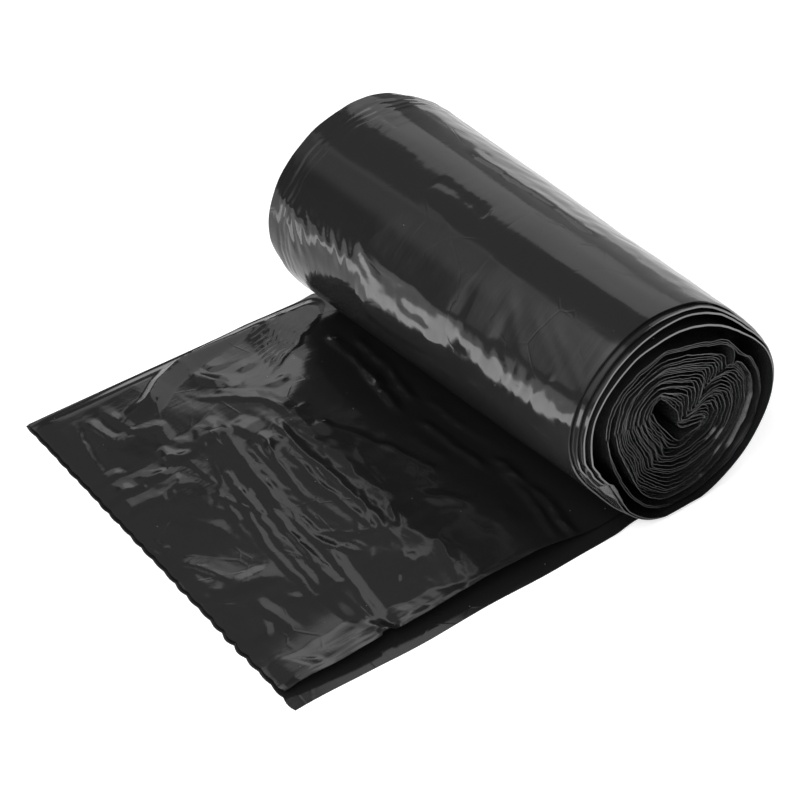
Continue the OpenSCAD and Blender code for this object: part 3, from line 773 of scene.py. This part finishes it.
# the upper ply's near side curls up at the torn corner, and less so further along
def curledUp(z, x, y):
    corner = np.clip((-66 - y + 2.5 * noise(x / 12, y / 12, 62)) / 19, 0, 1.1)
    z = z + (web["curl"][0] * corner * smooth((-133 - x - 0.5 * (y + 70)) / 7)
             * (0.55 + 0.45 * smooth((x + 181) / 5)))
    further = np.clip((-75 - y + 2 * noise(x / 9, y / 9, 63) - 0.25 * (x + 115)) / 11, 0, 1)
    return z + web["curl"][1] * further * smooth((x + 131) / 5) * smooth((-92 - x) / 8)


# faces of a thin closed sheet: its upper points, its lower ones and the wall round its rim
def sheetFaces(rows, columns):
    n = rows * columns
    grid = gridFaces(rows, columns)
    ring = np.concatenate([np.arange(columns), np.arange(1, rows) * columns + columns - 1,
                           (rows - 1) * columns + np.arange(columns - 2, -1, -1),
                           np.arange(rows - 2, 0, -1) * columns])
    after = np.roll(ring, -1)
    wall = np.stack([ring, after, after + n, ring + n], -1)
    return np.concatenate([grid, grid[:, ::-1] + n, wall])


# one folded ply of the free end, the upper or the lower one, as a thin closed sheet
def ply(name, top):
    width = freeFar - freeNear
    first = web["slip"] / width if top else 0.0
    pitch = web["pitch"][0 if top else 1]
    across = np.linspace(first, 1, int(width * (1 - first) / pitch))[None, :]
    rows = int((web["length"] + web["rootX"] + web["under"]) / pitch)
    s = np.linspace(0, 1, rows)[:, None]
    start = tornX(across) + (1.2 if top else 0)
    x = mix(start, web["rootX"] + web["under"], s)
    x, acrossAll = np.broadcast_arrays(x, across)
    y = webPoint(x, acrossAll)
    if top:                   # the upper ply's near edge wanders a little, with a small notch
        near = smooth(1 - (acrossAll - first) * width / 14)
        y = y + near * (0.8 * noise(x / 40, 0 * x, 43) + 1.6 * smooth((-150 - x) / 30)
                        + tent(x, 0 * x, [(-137, 0), (-134, 0), (-131, 0)], 1.5, 4, 4, 1.0))
    else:
        near = smooth(1 - acrossAll * width / 14)
        y = y + near * 1.2 * noise(x / 50, 0 * x, 44)
    relief = webRelief(x, y, acrossAll, top)
    if top:                   # both plies meet in the fold along the far side
        farFold = smooth((1 - acrossAll) * width / 6)
        nearRim = 0.8 * smooth(1 - (acrossAll - first) * width / 5)
        z = 0.95 * (0.35 + 0.65 * farFold) + web["film"] + relief
        z = z + nearRim * (0.6 + 0.5 * noise(x / 30, 0 * x, 45))
        z = curledUp(z, x, y)
    else:                     # the lower ply lies nearly flat
        z = web["film"] + 0.25 * relief
    sink = smooth((x - web["rootX"] + 8) / 14)
    z = mix(z, 2.1 if top else 1.0, sink)
    upper = np.stack([x, y, z], -1)
    lower = upper - np.array([0, 0, web["film"]])
    points = np.concatenate([upper.reshape(-1, 3), lower.reshape(-1, 3)])
    uv = np.stack([points[:, 0] + 900 * (1 if top else 2), points[:, 1]], -1)
    return newMesh(name, points, sheetFaces(rows, across.shape[1]), uv, 50)


upperPly, lowerPly = ply("upperPly", True), ply("lowerPly", False)
pieces += [upperPly, lowerPly]
for piece in pieces:
    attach(piece, "root")
    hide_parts("bag_roll")
print("free end made", [(p.name, len(p.data.polygons)) for p in (upperPly, lowerPly)])

# floor, lamps and camera

studio = {
    "floorLit": 0.55,         # what the floor's own colour adds for the camera, so that it meets white
    "room": 0.10,             # brightness of the room round the lamps
    "floor": 4.0,             # m, half its side
}


def floorMaterial():
    # Seamless paper: matt and white. The camera and the film's gloss see it as plain white
    mat = bpy.data.materials.new("white seamless paper")
    mat.use_nodes = True
    tree = mat.node_tree
    tree.nodes.clear()
    ray = addNode(tree, "ShaderNodeLightPath").outputs
    paper = addNode(tree, "ShaderNodeBsdfDiffuse", Color=fromHex("#f2f2f2"))
    glow = addNode(tree, "ShaderNodeEmission", {"Strength": ray["Is Camera Ray"]},
                   Color=(studio["floorLit"],) * 3 + (1,))
    both = addNode(tree, "ShaderNodeAddShader", {0: paper.outputs[0], 1: glow.outputs[0]})
    white = addNode(tree, "ShaderNodeEmission", Color=(1, 1, 1, 1))
    out = addNode(tree, "ShaderNodeMixShader",
                  {0: ray["Is Glossy Ray"], 1: both.outputs[0], 2: white.outputs[0]})
    addNode(tree, "ShaderNodeOutputMaterial", {"Surface": out.outputs[0]})
    return mat


floorMesh = bpy.data.meshes.new("floor")
half = studio["floor"]
floorCorners = [(-half, -half, 0), (half, -half, 0), (half, half, 0), (-half, half, 0)]
floorMesh.from_pydata(floorCorners, [], [(0, 1, 2, 3)])
floorMesh.materials.append(floorMaterial())
floor = bpy.data.objects.new("floor", floorMesh)
bpy.context.collection.objects.link(floor)

world = bpy.data.worlds.new("pale room")
bpy.context.scene.world = world
world.use_nodes = True
wt = world.node_tree
wt.nodes.clear()
ray = addNode(wt, "ShaderNodeLightPath").outputs
room = addNode(wt, "ShaderNodeBackground", Color=(1, 1, 1, 1), Strength=studio["room"])
seen = addNode(wt, "ShaderNodeBackground", Color=(1, 1, 1, 1), Strength=1.0)
both = addNode(wt, "ShaderNodeMixShader", {0: ray["Is Camera Ray"], 1: room.outputs[0], 2: seen.outputs[0]})
addNode(wt, "ShaderNodeOutputWorld", {"Surface": both.outputs[0]})


# a soft rectangle of light: its middle, the directions of its two sides, how bright it looks, and
# the shares of its two sides over which it fades in and out
def panel(name, centre, across, along, size, radiance, fade=(0, 0, 0, 0)):
    x, y = Vector(across).normalized(), Vector(along).normalized()
    z = x.cross(y).normalized()
    y = z.cross(x)
    lamp = bpy.data.lights.new(name, "AREA")
    lamp.shape = "RECTANGLE"
    lamp.size, lamp.size_y = size[0] / 1000, size[1] / 1000
    lamp.energy = pi * lamp.size * lamp.size_y * radiance
    if any(fade):
        lamp.use_nodes = True
        tree = lamp.node_tree
        tree.nodes.clear()
        where = addNode(tree, "ShaderNodeNewGeometry").outputs["Parametric"]
        parts = addNode(tree, "ShaderNodeSeparateXYZ", {"Vector": where}).outputs
        strength = None
        for share, source, flip in zip(fade, (parts[0], parts[0], parts[1], parts[1]), (0, 1, 0, 1)):
            if not share:
                continue
            dark, full = (1.0, 1 - share) if flip else (0.0, share)
            ramp = addNode(tree, "ShaderNodeMapRange", {"Value": source}, interpolation_type="SMOOTHSTEP",
                           **{"From Min": dark, "From Max": full}).outputs[0]
            if strength is not None:
                both = addNode(tree, "ShaderNodeMath", {0: strength, 1: ramp}, operation="MULTIPLY")
                ramp = both.outputs[0]
            strength = ramp
        glow = addNode(tree, "ShaderNodeEmission", {"Strength": strength})
        addNode(tree, "ShaderNodeOutputLight", {"Surface": glow.outputs[0]})
    item = bpy.data.objects.new(name, lamp)
    item.matrix_world = Matrix.Translation(Vector(toPart(centre))) @ Matrix((x, y, z)).transposed().to_4x4()
    item.visible_camera = False
    bpy.context.collection.objects.link(item)


# each shines against the cross product of its two sides
panel("key softbox", (426, 265, 585), (0.86, 0, -0.511), (0, 1, 0), (503, 930), 1.05, (0, 0, 0, 0.03))
panel("key softbox, cut back", (477, 940, 555), (0.859, 0, -0.512), (0, 1, 0), (384, 420), 0.8)
panel("back softbox", (460, 1176, 722), (-1, 0, 0), (0, -0.56, 0.83), (460, 392), 0.72)
panel("right softbox", (735, 350, 250), (0.36, 0, -0.93), (0, 1, 0), (430, 1100), 0.55, (0, 0, 0, 0.42))
panel("ceiling", (-40, 450, 800), (1, 0, 0), (0, 1, 0), (520, 1400), 0.17)
panel("left wall", (-590, -150, 540), (0.72, 0, 0.70), (0, 1, 0), (880, 1600), 1.5, (0, 0, 0, 0.35))
panel("left softbox", (-400, 450, 640), (0.80, 0, 0.60), (0, 1, 0), (470, 1500), 0.36, (0.5, 0, 0, 0))
panel("front left softbox", (-700, -560, 330), (0.574, -0.819, 0), (0.28, 0.19, 0.94), (400, 400), 2.6)
panel("front top softbox", (-420, -330, 700), (0.80, 0, 0.60), (0, 1, 0), (380, 700), 2.2, (0, 0, 0, 0.35))
panel("floor bounce", (-373, 6, 4), (-1, 0, 0), (0, 1, 0), (374, 512), 2.8, (0, 0, 0, 0.08))
panel("front floor bounce", (-20, -230, 4), (-1, 0, 0), (0, 1, 0), (420, 220), 1.9, (0.1, 0.1, 0.1, 0.1))
panel("side floor bounce", (-150, -142, 4), (-1, 0, 0), (0, 1, 0), (220, 80), 2.4)

view = {"azimuth": -38.36, "height": 40.0, "distance": 1019.0, "lookAt": (-55.9, 7.5, 23.1), "lens": 108.0}
az, el = radians(view["azimuth"]), radians(view["height"])
back = Vector((sin(az) * cos(el), -cos(az) * cos(el), sin(el)))
right = Vector((cos(az), sin(az), 0))
up = back.cross(right)
lens = bpy.data.cameras.new("camera")
lens.lens, lens.sensor_width = view["lens"], 36
lens.clip_start, lens.clip_end = 0.05, 20
camera = bpy.data.objects.new("camera", lens)
camera.matrix_world = (Matrix.Translation(Vector(toPart(view["lookAt"])) + back * view["distance"] / 1000)
                       @ Matrix((right, up, back)).transposed().to_4x4())
bpy.context.collection.objects.link(camera)
bpy.context.scene.camera = camera
bpy.context.scene.view_settings.view_transform = "Standard"
print("studio made")
